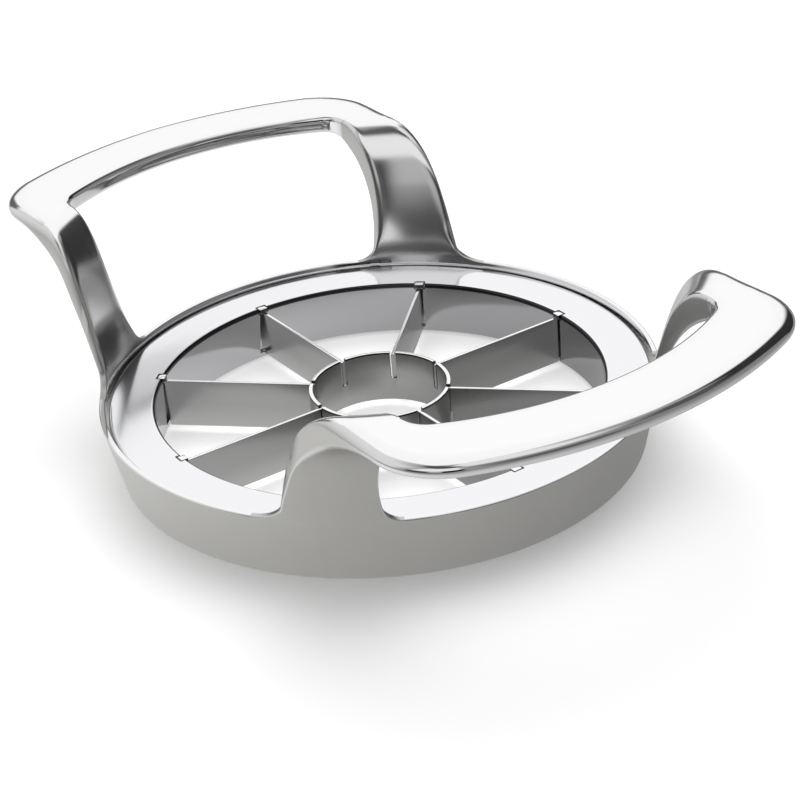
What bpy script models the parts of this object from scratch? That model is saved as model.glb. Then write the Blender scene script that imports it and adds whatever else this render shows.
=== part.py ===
"""Hand-held fruit slicer with eight blades and a core ring, modelled as separate closed solids.

The frame is one casting: a tapered band with four uprights that rise from its rim, lean outwards and
bend over into two flat handle bars. A flanged blade carrier drops into the band from above. Eight
blades hang in slots of the carrier's collar by their lugs, and lap into slots of the core ring.

Metres, +Z up. The origin is on the ring's axis at the table, and +X runs through the handle bars.
"""
import math

import bmesh
import bpy

# Band of the frame
RIM_RADIUS = 0.0550
BAND_HEIGHT = 0.0135
BAND_TAPER = 0.0028
RIM_WALL = 0.0012
BASE_WALL = 0.0024
LEDGE_WIDTH = 0.0024
RIM_ROUND = 0.0006
RIM_CHAMFER = 0.0003
BASE_ROUND = 0.0005

# Handle bars of the frame, in plan
HANDLE_OVERHANG = 0.0310
HANDLE_TOP = 0.0411
BAR_THICKNESS = 0.0028
BAR_WIDTH = 0.0142
ARM_SETBACK = 0.0120
ARM_WIDTH = 0.0103
CORNER_CLEARANCE = 0.0003
OUTER_CORNER_LAG = 0.0057
OUTER_CORNER_SHARE = 0.70
WINDOW_CORNER_SHARE = 0.41

# Uprights of the frame, from the rim to the start of the flat bar
FOOT_WIDTH = 0.0143
FOOT_SPREAD = 0.0008
SPREAD_START_SHARE = 0.60
SPREAD_END_SHARE = 0.88
TURN_END_SHARE = 0.50
WINDOW_END_SHARE = 0.80
ROUND_START_SHARE = 0.20
ROUND_END_SHARE = 0.80
ROLL_START = 0.0070
FOOT_FILLET_OUTER = 0.0032
FOOT_FILLET_WINDOW = 0.0026
FOOT_SINK = 0.0020
FOOT_BURY = 0.00006
KNEE_HEIGHT = 0.0040
TOP_LEAN = 0.0075
UNDER_LEAN = 0.0087
TOP_BEND_SHARE = 0.52
UNDER_BEND_SHARE = 0.72
TOP_BEND_OUT = 0.0066
UNDER_BEND_OUT = 0.0146

# Rolled edges of the handles
ROLL_OUTER = 0.0020
ROLL_WINDOW = 0.0011
ROLL_DEPTH = 0.0010
ROLL_CORNER_SHARE = 0.75
DEPTH_CORNER_SHARE = 0.45
EDGE_ROUND_UNDER = 0.0012

# Blade carrier: a dished flange with a collar
FLANGE_WIDTH = 0.0090
LIP_DROP = 0.0015
FLANGE_DROP = 0.00035
FLANGE_THICKNESS = 0.0014
COLLAR_WALL = 0.0015
LIP_ROUND = 0.0005
FLANGE_EDGE_ROUND = 0.0005
COLLAR_FILLET = 0.0008
RIM_GAP = 0.0005
SEAT_GAP = 0.0003

# Slots and notches of the carrier
SLOT_GAP = 0.0003
SLOT_FLARE = 0.0010
SLOT_SILL = 0.0009
NOTCH_REST = 0.0002
LUG_WIDTH = 0.0018
LUG_HEIGHT = 0.00095
LUG_BITE = 0.00015

# Blades
BLADE_COUNT = 8
BLADE_THICKNESS = 0.0007
BLADE_EDGE = 0.00016
BLADE_BEVEL = 0.0008
BLADE_DROP = 0.0008
TABLE_CLEARANCE = 0.0010

# Core ring
CORE_RADIUS = 0.0140
CORE_WALL = 0.0008
CORE_EDGE_WALL = 0.00016
CORE_BEVEL = 0.0012
CORE_RISE = 0.0004
CORE_LAP_SHARE = 0.5
CORE_GAP = 0.0003

# Cuts run past the face that they open by this much
OVERRUN = 0.0010

# Facets
RING_SEGMENTS = 96
CORE_SEGMENTS = 48
ARC_STEPS = 3
LEAN_STEPS = 8
BEND_STEPS = 7
CORNER_STEPS = 6
BAR_STEPS = 7
ARM_STEPS = 4
ACROSS_STEPS = 4
FOOT_SPACING_SHARE = 1.6

# Handle sizes that follow from the band's
HANDLE_REACH = RIM_RADIUS + HANDLE_OVERHANG
HANDLE_HALF_WIDTH = RIM_RADIUS - ARM_SETBACK
WINDOW_HALF_WIDTH = HANDLE_HALF_WIDTH - ARM_WIDTH

# Radii of the carrier, which follow from the band's
FLANGE_RADIUS = RIM_RADIUS - RIM_WALL - RIM_GAP
LEDGE_RADIUS = RIM_RADIUS - RIM_WALL - LEDGE_WIDTH
HOLE_RADIUS = FLANGE_RADIUS - FLANGE_WIDTH
COLLAR_RADIUS = HOLE_RADIUS + COLLAR_WALL

# Heights that several pieces share
LIP_TOP = BAND_HEIGHT - LIP_DROP
FLANGE_TOP = BAND_HEIGHT - FLANGE_DROP
BLADE_TOP = LIP_TOP - BLADE_DROP
BLADE_BOTTOM = TABLE_CLEARANCE
SLOT_BOTTOM = TABLE_CLEARANCE + SLOT_SILL
LUG_BOTTOM = LIP_TOP - LUG_HEIGHT
NOTCH_FLOOR = LUG_BOTTOM - SLOT_GAP


def clear_scene():
    """Remove whatever the open scene holds."""
    for item in list(bpy.data.objects):
        bpy.data.objects.remove(item)


def make_material(name, colour, roughness, metallic=1.0):
    """A Principled material with one colour, roughness and metallic value."""
    material = bpy.data.materials.new(name)
    material.use_nodes = True
    shader = material.node_tree.nodes["Principled BSDF"]
    shader.inputs["Base Color"].default_value = (*colour, 1.0)
    shader.inputs["Roughness"].default_value = roughness
    shader.inputs["Metallic"].default_value = metallic
    return material


def make_object(name, mesh_builder, material=None, cutter=False):
    """Turn a finished bmesh into an object whose normals point out."""
    bmesh.ops.recalc_face_normals(mesh_builder, faces=mesh_builder.faces)
    mesh = bpy.data.meshes.new(name)
    mesh_builder.to_mesh(mesh)
    mesh_builder.free()
    mesh.shade_smooth()
    mesh.set_sharp_from_angle(angle=math.radians(30))
    item = bpy.data.objects.new(name, mesh)
    bpy.context.collection.objects.link(item)
    if material:
        mesh.materials.append(material)
    if cutter:
        item.hide_render = True
        item.display_type = "WIRE"
    return item


def combine(target, tool, operation):
    """Cut a tool out of the target, or add it to the target."""
    modifier = target.modifiers.new(tool.name, "BOOLEAN")
    modifier.operation = operation
    modifier.object = tool
    modifier.solver = "EXACT"


def arc(centre, radius, start, end, steps):
    """Points along an arc, both ends included; angles in radians."""
    points = []
    for step in range(steps + 1):
        angle = start + (end - start) * step / steps
        points.append((centre[0] + radius * math.cos(angle), centre[1] + radius * math.sin(angle)))
    return points


def revolve(outline, segments):
    """Turn a closed (radius, height) outline about the vertical axis."""
    builder = bmesh.new()
    corners = [builder.verts.new((radius, 0.0, height)) for radius, height in outline]
    edges = [builder.edges.new((corners[i - 1], corners[i])) for i in range(len(corners))]
    bmesh.ops.spin(builder, geom=corners + edges, cent=(0, 0, 0), axis=(0, 0, 1),
                   angle=math.tau, steps=segments, use_merge=True)
    return builder


def prism(outline, place, near, far):
    """Extrude a closed outline between two depths; place(u, v, depth) gives each point."""
    builder = bmesh.new()
    rings = []
    for depth in (near, far):
        rings.append([builder.verts.new(place(u, v, depth)) for u, v in outline])
    builder.faces.new(rings[0])
    builder.faces.new(list(reversed(rings[1])))
    count = len(outline)
    for i in range(count):
        j = (i + 1) % count
        builder.faces.new((rings[0][j], rings[0][i], rings[1][i], rings[1][j]))
    return builder


def loft(rings):
    """Skin closed rings of equal point counts in order, with a cap at each end."""
    builder = bmesh.new()
    skins = [[builder.verts.new(point) for point in ring] for ring in rings]
    count = len(skins[0])
    for low, high in zip(skins, skins[1:]):
        for i in range(count):
            j = (i + 1) % count
            builder.faces.new((low[i], low[j], high[j], high[i]))
    builder.faces.new(list(reversed(skins[0])))
    builder.faces.new(skins[-1])
    return builder


def mix(first, second, share):
    """The value or point at a share of the way from the first to the second."""
    if isinstance(first, tuple):
        return tuple(mix(a, b, share) for a, b in zip(first, second))
    return first + (second - first) * share


def dish_top(radius):
    """Height of the flange's dished upper face, which falls evenly towards the hole."""
    share = (radius - HOLE_RADIUS) / (FLANGE_RADIUS - HOLE_RADIUS)
    return mix(LIP_TOP, FLANGE_TOP, share)


def wall_radius(height):
    """Outer radius of the band's straight wall at a height, or of its line carried on above the rim."""
    slope = math.atan2(BAND_TAPER, BAND_HEIGHT)
    base = (RIM_RADIUS - BAND_TAPER - BASE_ROUND * (1 - math.cos(slope)), BASE_ROUND * (1 - math.sin(slope)))
    rim = (RIM_RADIUS - RIM_ROUND * (1 - math.cos(slope)), BAND_HEIGHT - RIM_ROUND * (1 + math.sin(slope)))
    return mix(base[0], rim[0], (height - base[1]) / (rim[1] - base[1]))


def band_outline():
    """Section of the band, with the ledge that carries the flange."""
    base_radius = RIM_RADIUS - BAND_TAPER
    inner_rim = RIM_RADIUS - RIM_WALL
    slope = math.atan2(BAND_TAPER, BAND_HEIGHT)
    ledge_outer = dish_top(inner_rim) - FLANGE_THICKNESS - SEAT_GAP
    ledge_inner = dish_top(LEDGE_RADIUS) - FLANGE_THICKNESS - SEAT_GAP
    outline = [(base_radius - BASE_WALL, 0.0)]
    outline += arc((base_radius - BASE_ROUND, BASE_ROUND), BASE_ROUND, -math.pi / 2, -slope, ARC_STEPS)
    outline += arc((RIM_RADIUS - RIM_ROUND, BAND_HEIGHT - RIM_ROUND), RIM_ROUND, -slope, math.pi / 2, ARC_STEPS)
    outline += [(inner_rim + RIM_CHAMFER, BAND_HEIGHT), (inner_rim, BAND_HEIGHT - RIM_CHAMFER)]
    outline += [(inner_rim, ledge_outer), (LEDGE_RADIUS, ledge_inner)]
    return outline


def carrier_outline():
    """Section of the blade carrier: dished flange, rounded lip and straight collar."""
    under_collar = dish_top(COLLAR_RADIUS + COLLAR_FILLET) - FLANGE_THICKNESS
    lip_centre = (HOLE_RADIUS + LIP_ROUND, dish_top(HOLE_RADIUS + LIP_ROUND) - LIP_ROUND)
    edge_centre = (FLANGE_RADIUS - FLANGE_EDGE_ROUND, FLANGE_TOP - FLANGE_EDGE_ROUND)
    fillet_centre = (COLLAR_RADIUS + COLLAR_FILLET, under_collar - COLLAR_FILLET)
    outline = [(HOLE_RADIUS, TABLE_CLEARANCE), (COLLAR_RADIUS, TABLE_CLEARANCE)]
    outline += arc(fillet_centre, COLLAR_FILLET, math.pi, math.pi / 2, ARC_STEPS)
    outline += [(FLANGE_RADIUS, FLANGE_TOP - FLANGE_THICKNESS)]
    outline += arc(edge_centre, FLANGE_EDGE_ROUND, 0.0, math.pi / 2, ARC_STEPS)
    outline += arc(lip_centre, LIP_ROUND, math.pi / 2, math.pi, ARC_STEPS)
    return outline


def core_outline():
    """Section of the core ring, ground to an edge at its foot."""
    inner = CORE_RADIUS - CORE_WALL
    top = BLADE_TOP + CORE_RISE
    return [(inner, BLADE_BOTTOM), (inner + CORE_EDGE_WALL, BLADE_BOTTOM),
            (CORE_RADIUS, BLADE_BOTTOM + CORE_BEVEL), (CORE_RADIUS, top), (inner, top)]


def rounded_edge(half_width, corner_x, crown, corner_share):
    """One side of a handle's plan outline, from the straight arm round the corner to the middle.

    The arm runs at half_width as far as corner_x. The corner takes a share of the way from there to
    the crown, and the bar's arc runs on from it to the crown on the X axis.
    """
    depth = crown - corner_x
    corner = corner_share * depth
    corner_y = half_width - corner
    arc_radius = (depth ** 2 + corner_y ** 2 - corner ** 2) / (2 * (depth - corner))
    turn = math.atan2(corner_y, corner_x - crown + arc_radius)
    corner_points = arc((corner_x, corner_y), corner, math.pi / 2, turn, CORNER_STEPS)
    bar_points = arc((crown - arc_radius, 0.0), arc_radius, turn, 0.0, BAR_STEPS)
    return corner_points + bar_points[1:]


def quadratic(start, control, end, share):
    """A point of the parabola that leaves start towards control and arrives at end from it."""
    return mix(mix(start, control, share), mix(control, end, share), share)


def top_side():
    """Foot, knee and bend of the upper face of a handle, as (radius, height) points."""
    rim = RIM_RADIUS - RIM_WALL
    foot = (rim + FOOT_BURY, BAND_HEIGHT)
    knee = (rim + FOOT_BURY, BAND_HEIGHT + KNEE_HEIGHT)
    corner = (rim + TOP_LEAN, HANDLE_TOP)
    bend = (mix(corner, knee, TOP_BEND_SHARE), corner, (corner[0] + TOP_BEND_OUT, corner[1]))
    return foot, knee, bend


def under_side():
    """Foot, knee and bend of the lower face of a handle, which runs on from the band's wall."""
    foot = (wall_radius(BAND_HEIGHT) - FOOT_BURY, BAND_HEIGHT)
    knee = (wall_radius(BAND_HEIGHT + KNEE_HEIGHT) - FOOT_BURY, BAND_HEIGHT + KNEE_HEIGHT)
    corner = (RIM_RADIUS + UNDER_LEAN, HANDLE_TOP - BAR_THICKNESS)
    bend = (mix(corner, knee, UNDER_BEND_SHARE), corner, (corner[0] + UNDER_BEND_OUT, corner[1]))
    return foot, knee, bend


def bend_share(bend, radius):
    """The share along a bend's parabola at which it reaches a radius; 1 from its end on."""
    start, corner, end = [point[0] for point in bend]
    run = 2 * (corner - start)
    turn = start - 2 * corner + end
    ahead = min(radius, end) - start
    return 2 * ahead / (run + math.sqrt(run ** 2 + 4 * turn * ahead))


def under_level(radius):
    """Height of the lower face of a handle bar at a distance from the ring's axis."""
    bend = under_side()[2]
    return quadratic(*bend, bend_share(bend, radius))[1]


def upright_profile(foot, knee, bend, last_radius):
    """Points of one face of an upright, from its foot over the bend to the last radius."""
    points = []
    for step in range(LEAN_STEPS):
        points.append(quadratic(foot, knee, bend[0], (step / LEAN_STEPS) ** FOOT_SPACING_SHARE))
    last_share = bend_share(bend, last_radius)
    for step in range(BEND_STEPS + 1):
        points.append(quadratic(*bend, last_share * step / BEND_STEPS))
    return points


def flare(height, radius):
    """How far a foot's fillet stands out at a height above the rim."""
    if height >= radius:
        return 0.0
    return radius - math.sqrt(radius ** 2 - (radius - height) ** 2)


def smooth_share(value, low, high):
    """0 up to low, 1 from high on, and a smooth rise between."""
    share = min(max((value - low) / (high - low), 0.0), 1.0)
    return share * share * (3 - 2 * share)


def strap_section(top_point, under_point, rolls):
    """Closed ring round a strap, with broad rolls along its upper edges and rounded lower edges.

    top_point(share) and under_point(share) give the two faces from the window side to the outer one, and
    rolls holds the roll's width, its depth and the lower edge's round for each of those sides.
    """
    width = math.dist(top_point(0), top_point(1))
    ring = []
    for side, (roll, depth, under) in enumerate(rolls):
        thickness = math.dist(top_point(side), under_point(side))
        under = min(under, thickness / 2)
        depth = min(depth, thickness - under)
        corner = [(roll * (1 - math.sin(turn)), depth * (1 - math.cos(turn)))
                  for turn in (math.pi / 2 * step / ARC_STEPS for step in range(ARC_STEPS + 1))]
        corner += arc((under, thickness - under), under, math.pi, math.pi / 2, ARC_STEPS - 1)
        if side:
            corner = [(width - across, down) for across, down in reversed(corner)]
        ring += [(across / width, down / thickness) for across, down in corner]
        start = ring[-1]
        end = (1 - start[0], start[1])
        ring += [mix(start, end, step / ACROSS_STEPS) for step in range(1, ACROSS_STEPS)]
    return [mix(top_point(across), under_point(across), down) for across, down in ring]


def upright_edges(face, level, height):
    """Window side and outer side of the top face (0) or the lower face (1) of an upright, as half widths.

    Both faces are cut towards the axis at the foot, where the strap is broader. The top face's sides run
    along X from some way up, the lower face's only near the bend. The fillets go by the height.
    """
    rise = (level - BAND_HEIGHT) / (HANDLE_TOP - face * BAR_THICKNESS - BAND_HEIGHT)
    ease = max(0.0, 1 - rise / WINDOW_END_SHARE) ** 2
    window = mix(WINDOW_HALF_WIDTH, HANDLE_HALF_WIDTH + FOOT_SPREAD - FOOT_WIDTH, ease)
    if face:
        turn, narrowing = smooth_share(rise, SPREAD_START_SHARE, SPREAD_END_SHARE), 1.0
    else:
        turn = smooth_share(rise, 0.0, TURN_END_SHARE)
        narrowing = mix((RIM_RADIUS - RIM_WALL) / wall_radius(BAND_HEIGHT), 1.0, turn)
    outer = HANDLE_HALF_WIDTH + FOOT_SPREAD * (1 - turn)
    return ((window - flare(height, FOOT_FILLET_WINDOW)) * narrowing,
            (outer + flare(height, FOOT_FILLET_OUTER)) * narrowing)


def upright_sections(last_radius):
    """Sections of one upright, from its foot sunk in the band to the start of the flat bar."""
    profiles = [upright_profile(*side, last_radius) for side in (top_side(), under_side())]
    sections = []
    for station, (_, level) in enumerate(profiles[0]):
        height = level - BAND_HEIGHT
        edges = [upright_edges(face, profiles[face][station][1], height) for face in (0, 1)]
        grown = smooth_share(height, 0.0, ROLL_START)
        rounded = smooth_share(height / (HANDLE_TOP - BAND_HEIGHT), ROUND_START_SHARE, ROUND_END_SHARE)
        rolls = [(mix(RIM_CHAMFER, roll, grown), mix(RIM_CHAMFER, ROLL_DEPTH, grown),
                  mix(RIM_ROUND, EDGE_ROUND_UNDER, rounded)) for roll in (ROLL_WINDOW, ROLL_OUTER)]

        def face_point(share, face, sink=0.0):
            radius, z = profiles[face][station]
            y = mix(*edges[face], share)
            if face:
                radius -= wall_radius(z) - wall_radius(z - sink)
            return (math.sqrt(radius ** 2 - y ** 2), y, z - sink)

        if station == 0:
            sections.append(strap_section(lambda share: face_point(share, 0, FOOT_SINK),
                                          lambda share: face_point(share, 1, FOOT_SINK), rolls))
        sections.append(strap_section(lambda share: face_point(share, 0), lambda share: face_point(share, 1),
                                      rolls))
    return sections


def bar_sections(last_radius):
    """Sections of the flat part of a handle on one side, from the upright to the middle."""
    bend_window = (math.sqrt(last_radius ** 2 - WINDOW_HALF_WIDTH ** 2), WINDOW_HALF_WIDTH)
    bend_outer = (math.sqrt(last_radius ** 2 - HANDLE_HALF_WIDTH ** 2), HANDLE_HALF_WIDTH)
    corner_x = bend_window[0] + CORNER_CLEARANCE
    window_edge = rounded_edge(WINDOW_HALF_WIDTH, corner_x, HANDLE_REACH - BAR_WIDTH, WINDOW_CORNER_SHARE)
    outer_edge = rounded_edge(HANDLE_HALF_WIDTH, corner_x + OUTER_CORNER_LAG, HANDLE_REACH, OUTER_CORNER_SHARE)
    arm = [(mix(bend_window, window_edge[0], step / ARM_STEPS), mix(bend_outer, outer_edge[0], step / ARM_STEPS))
           for step in range(1, ARM_STEPS)]
    sections = []
    for window, outer in arm + list(zip(window_edge, outer_edge)):
        along, across = outer[0] - window[0], outer[1] - window[1]
        corner_share = max(0.0, 2 * along * across / (along ** 2 + across ** 2))
        rolls = ((ROLL_WINDOW, ROLL_DEPTH, EDGE_ROUND_UNDER),
                 (ROLL_OUTER * (1 + ROLL_CORNER_SHARE * corner_share),
                  ROLL_DEPTH * (1 + DEPTH_CORNER_SHARE * corner_share), EDGE_ROUND_UNDER))

        def top_point(share):
            return (*mix(window, outer, share), HANDLE_TOP)

        def under_point(share):
            x, y = mix(window, outer, share)
            return (x, y, under_level(math.hypot(x, y)))

        sections.append(strap_section(top_point, under_point, rolls))
    return sections


def build_handle(direction):
    """One handle as a closed strap from foot to foot; direction is 1 or -1 along X."""
    last_radius = top_side()[2][2][0]
    half = upright_sections(last_radius) + bar_sections(last_radius)
    other = [[(x, -y, z) for x, y, z in section] for section in reversed(half[:-1])]
    sections = half + other
    return loft([[(direction * x, direction * y, z) for x, y, z in section] for section in sections])


def build_frame(material):
    """Band and both handles, united into one casting."""
    frame = make_object("handle_frame", revolve(band_outline(), RING_SEGMENTS), material)
    for name, direction in (("front_handle_form", 1), ("back_handle_form", -1)):
        handle = make_object(name, build_handle(direction), cutter=True)
        combine(frame, handle, "UNION")
    return frame


def blade_angles():
    """Directions of the blades about the ring's axis."""
    return [math.tau * i / BLADE_COUNT for i in range(BLADE_COUNT)]


def radial_place(angle):
    """Maps (radius, height, sideways) to a point at a blade's direction."""
    def place(radius, height, sideways):
        return (radius * math.cos(angle) - sideways * math.sin(angle),
                radius * math.sin(angle) + sideways * math.cos(angle), height)
    return place


def sideways_place(angle):
    """Maps (sideways, height, radius) to a point at a blade's direction."""
    def place(sideways, height, radius):
        return radial_place(angle)(radius, height, sideways)
    return place


def build_carrier(material):
    """Flange and collar, cut by a flared slot and a lug notch for each blade."""
    carrier = make_object("blade_carrier", revolve(carrier_outline(), RING_SEGMENTS), material)
    half_slot = BLADE_THICKNESS / 2 + SLOT_GAP
    half_notch = LUG_WIDTH / 2 + SLOT_GAP
    slot = [(-half_slot, SLOT_BOTTOM), (half_slot + SLOT_FLARE, SLOT_BOTTOM),
            (half_slot, NOTCH_FLOOR + LUG_BITE), (-half_slot, NOTCH_FLOOR + LUG_BITE)]
    notch = [(-half_notch, NOTCH_FLOOR), (half_notch, NOTCH_FLOOR),
             (half_notch, LIP_TOP + OVERRUN), (-half_notch, LIP_TOP + OVERRUN)]
    for index, angle in enumerate(blade_angles(), start=1):
        slot_form = prism(slot, sideways_place(angle), HOLE_RADIUS - OVERRUN, COLLAR_RADIUS + OVERRUN)
        notch_form = prism(notch, sideways_place(angle), HOLE_RADIUS - OVERRUN, COLLAR_RADIUS - NOTCH_REST)
        for name, form in ((f"slot_form_{index}", slot_form), (f"notch_form_{index}", notch_form)):
            combine(carrier, make_object(name, form, cutter=True), "DIFFERENCE")
    return carrier


def build_core_ring(material):
    """Core ring, slotted from above where the blades lap into it."""
    ring = make_object("core_ring", revolve(core_outline(), CORE_SEGMENTS), material)
    half_slot = BLADE_THICKNESS / 2 + CORE_GAP
    lap = mix(BLADE_BOTTOM, BLADE_TOP, CORE_LAP_SHARE) - CORE_GAP
    slot = [(-half_slot, lap), (half_slot, lap),
            (half_slot, BLADE_TOP + CORE_RISE + OVERRUN), (-half_slot, BLADE_TOP + CORE_RISE + OVERRUN)]
    for index, angle in enumerate(blade_angles(), start=1):
        form = prism(slot, sideways_place(angle), CORE_RADIUS - CORE_WALL - OVERRUN, CORE_RADIUS + OVERRUN)
        combine(ring, make_object(f"core_slot_form_{index}", form, cutter=True), "DIFFERENCE")
    return ring


def blade_strip(angle):
    """A blade's strip: ground lower edge, half-height lap at the core ring, tab at the collar."""
    lap = mix(BLADE_BOTTOM, BLADE_TOP, CORE_LAP_SHARE)
    bevel_top = BLADE_BOTTOM + BLADE_BEVEL
    foot_start = CORE_RADIUS + CORE_GAP
    foot_end = HOLE_RADIUS - SLOT_GAP
    lug_end = COLLAR_RADIUS - NOTCH_REST - SLOT_GAP - LUG_BITE
    tab_top = NOTCH_FLOOR - SLOT_GAP
    ground = [(foot_start, BLADE_BOTTOM), (foot_end, BLADE_BOTTOM)]
    body = [(foot_end, bevel_top), (foot_end, SLOT_BOTTOM + SLOT_GAP), (COLLAR_RADIUS, SLOT_BOTTOM + SLOT_GAP),
            (COLLAR_RADIUS, tab_top), (lug_end, tab_top), (lug_end, BLADE_TOP),
            (CORE_RADIUS - CORE_WALL, BLADE_TOP), (CORE_RADIUS - CORE_WALL, lap),
            (foot_start, lap), (foot_start, bevel_top)]
    place = radial_place(angle)
    builder = bmesh.new()
    sides = []
    for sign in (1, -1):
        low = [builder.verts.new(place(r, z, sign * BLADE_EDGE / 2)) for r, z in ground]
        high = [builder.verts.new(place(r, z, sign * BLADE_THICKNESS / 2)) for r, z in body]
        builder.faces.new((low[0], low[1], high[0], high[-1]))
        builder.faces.new(high)
        sides.append(low + high)
    count = len(sides[0])
    for i in range(count):
        j = (i + 1) % count
        builder.faces.new((sides[0][i], sides[0][j], sides[1][j], sides[1][i]))
    return builder


def build_blade(index, angle, material):
    """One blade: its strip and the broad lug by which it hangs in the collar's notch."""
    blade = make_object(f"blade_{index}", blade_strip(angle), material)
    lug_end = COLLAR_RADIUS - NOTCH_REST - SLOT_GAP
    lug_start = HOLE_RADIUS - LUG_HEIGHT / 2
    half_lug = LUG_WIDTH / 2
    outline = [(lug_start, LUG_BOTTOM), (lug_end, LUG_BOTTOM), (lug_end, LIP_TOP), (lug_start, LIP_TOP)]
    lug = make_object(f"lug_form_{index}", prism(outline, radial_place(angle), -half_lug, half_lug), cutter=True)
    combine(blade, lug, "UNION")
    return blade


def main():
    clear_scene()
    build_frame(make_material("satin_and_polished_steel", (0.62, 0.62, 0.61), 0.28))
    build_carrier(make_material("mirror_steel", (0.85, 0.85, 0.87), 0.08))
    build_core_ring(make_material("core_steel", (0.72, 0.72, 0.73), 0.2))
    blade_steel = (0.66, 0.66, 0.66)
    for index, angle in enumerate(blade_angles(), start=1):
        build_blade(index, angle, make_material(f"blade_steel_{index}", blade_steel, 0.25))


main()
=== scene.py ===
"""Looks of the fruit slicer: its steel pieces as fine curved surfaces, their finishes and a studio.

The file is laid out as an add-on and run as a script. Every length is in metres, +Z is up, the
origin is on the ring's axis at the table, and +X runs through the handle bars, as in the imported
model.
"""

import math

import bpy
import numpy as np
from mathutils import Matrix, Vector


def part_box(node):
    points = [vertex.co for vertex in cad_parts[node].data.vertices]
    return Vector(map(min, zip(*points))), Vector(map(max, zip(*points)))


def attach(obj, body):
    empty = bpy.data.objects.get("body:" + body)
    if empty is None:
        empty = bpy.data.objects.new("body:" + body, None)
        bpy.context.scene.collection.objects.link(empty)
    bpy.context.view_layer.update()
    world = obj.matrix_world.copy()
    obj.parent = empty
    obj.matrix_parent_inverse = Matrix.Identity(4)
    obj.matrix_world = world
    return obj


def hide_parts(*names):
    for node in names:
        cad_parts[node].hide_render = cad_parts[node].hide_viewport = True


bl_info = {
    "name": "Fruit slicer looks",
    "version": (1, 0, 0),
    "blender": (4, 5, 0),
    "location": "3D Viewport > Sidebar > Slicer",
    "description": "Builds the steel pieces of a fruit slicer around its packed solids",
    "category": "Object",
}

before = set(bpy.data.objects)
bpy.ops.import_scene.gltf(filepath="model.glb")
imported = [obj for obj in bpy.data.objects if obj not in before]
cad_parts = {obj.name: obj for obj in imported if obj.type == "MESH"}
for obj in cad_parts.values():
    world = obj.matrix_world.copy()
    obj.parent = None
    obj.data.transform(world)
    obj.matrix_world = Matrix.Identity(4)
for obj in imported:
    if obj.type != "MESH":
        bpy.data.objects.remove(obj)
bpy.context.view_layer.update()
_, FRAME_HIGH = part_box("handle_frame")

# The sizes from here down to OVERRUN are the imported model's too. The band and its ledge:
BASE_ROUND = 0.0005
BASE_WALL = 0.0024
RIM_WALL = 0.0012
LEDGE_WIDTH = 0.0024
BAND_TAPER = 0.0028

# The handles' plan, with bar, arms and corners:
BAR_WIDTH = 0.0142
ARM_SETBACK = 0.0120
ARM_WIDTH = 0.0103
CORNER_CLEARANCE = 0.0003
OUTER_CORNER_LAG = 0.0057
OUTER_CORNER_SHARE = 0.70
WINDOW_CORNER_SHARE = 0.41

# The uprights' feet, knees and bends. Some shares of the height say where a change ends, and a
# pair says where it starts and ends.
FOOT_WIDTH = 0.0143
FOOT_SPREAD = 0.0008
SPREAD_SHARES = (0.60, 0.88)
TURN_END_SHARE = 0.50
WINDOW_END_SHARE = 0.80
FOOT_FILLET_OUTER = 0.0032
FOOT_FILLET_WINDOW = 0.0026
FOOT_SINK = 0.0020
KNEE_HEIGHT = 0.0040
TOP_LEAN = 0.0075
UNDER_LEAN = 0.0087
TOP_BEND_SHARE = 0.52
UNDER_BEND_SHARE = 0.72
TOP_BEND_OUT = 0.0066
UNDER_BEND_OUT = 0.0146

# The handles' rolled upper edges and rounded lower edges:
ROLL_OUTER = 0.0020
ROLL_WINDOW = 0.0011
ROLL_DEPTH = 0.0010
ROLL_CORNER_SHARE = 0.75
DEPTH_CORNER_SHARE = 0.45
EDGE_ROUND_UNDER = 0.0012

# The edges of a foot start with the rim's sizes and reach the handle's at this height above it
ROLL_START = 0.0070

# The blade carrier with its slots and notches:
FLANGE_WIDTH = 0.0090
LIP_DROP = 0.0015
FLANGE_THICKNESS = 0.0014
COLLAR_WALL = 0.0015
LIP_ROUND = 0.0005
FLANGE_EDGE_ROUND = 0.0005
COLLAR_FILLET = 0.0008
RIM_GAP = 0.0005
SEAT_GAP = 0.0003
SLOT_GAP = 0.0003
SLOT_FLARE = 0.0010
SLOT_SILL = 0.0009
NOTCH_REST = 0.0002

# The blades with their lugs, and the core ring:
LUG_WIDTH = 0.0018
LUG_HEIGHT = 0.00095
LUG_BITE = 0.00015
BLADE_COUNT = 8
BLADE_THICKNESS = 0.0007
BLADE_EDGE = 0.00016
BLADE_BEVEL = 0.0008
BLADE_DROP = 0.0008
TABLE_CLEARANCE = 0.0010
CORE_RADIUS = 0.0140
CORE_WALL = 0.0008
CORE_EDGE_WALL = 0.00016
CORE_BEVEL = 0.0012
CORE_RISE = 0.0004
CORE_LAP_SHARE = 0.5
CORE_GAP = 0.0003
OVERRUN = 0.0010

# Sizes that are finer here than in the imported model
RIM_ROUND = 0.0003
RIM_CHAMFER = 0.00015
ROUND_SHARES = (0.70, 1.00)
FOOT_BURY = 0.000004
FLANGE_DROP = 0.00125

# Sizes of what is only here: the rolls' swell at the bends, the dish's curve, the room beside the
# blades in their slots, and the eased edges of blades and core ring
ROLL_BEND_SHARE = 0.55
DEPTH_BEND_SHARE = 0.8
SWELL_START_SHARE = 0.55
DISH_POWER = 1.5
SLOT_SIDE_GAP = 0.00045
BLADE_ROUND = 0.00010

# Satin attribute: 0 on polished edges, 1 on blasted faces, and between them on brushed and on
# machined faces. The rolls are brushed over their first part. The blasted finish of an upright's
# outer face runs out between two heights, and a little of it is left beyond.
BRUSHED = 0.3
MACHINED = 0.7
ROLL_BRUSHED_SHARE = 0.25
SATIN_FADE = (0.0335, 0.0380)
SATIN_LEFT = 0.12
SATIN_SIDE = 0.85

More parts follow.
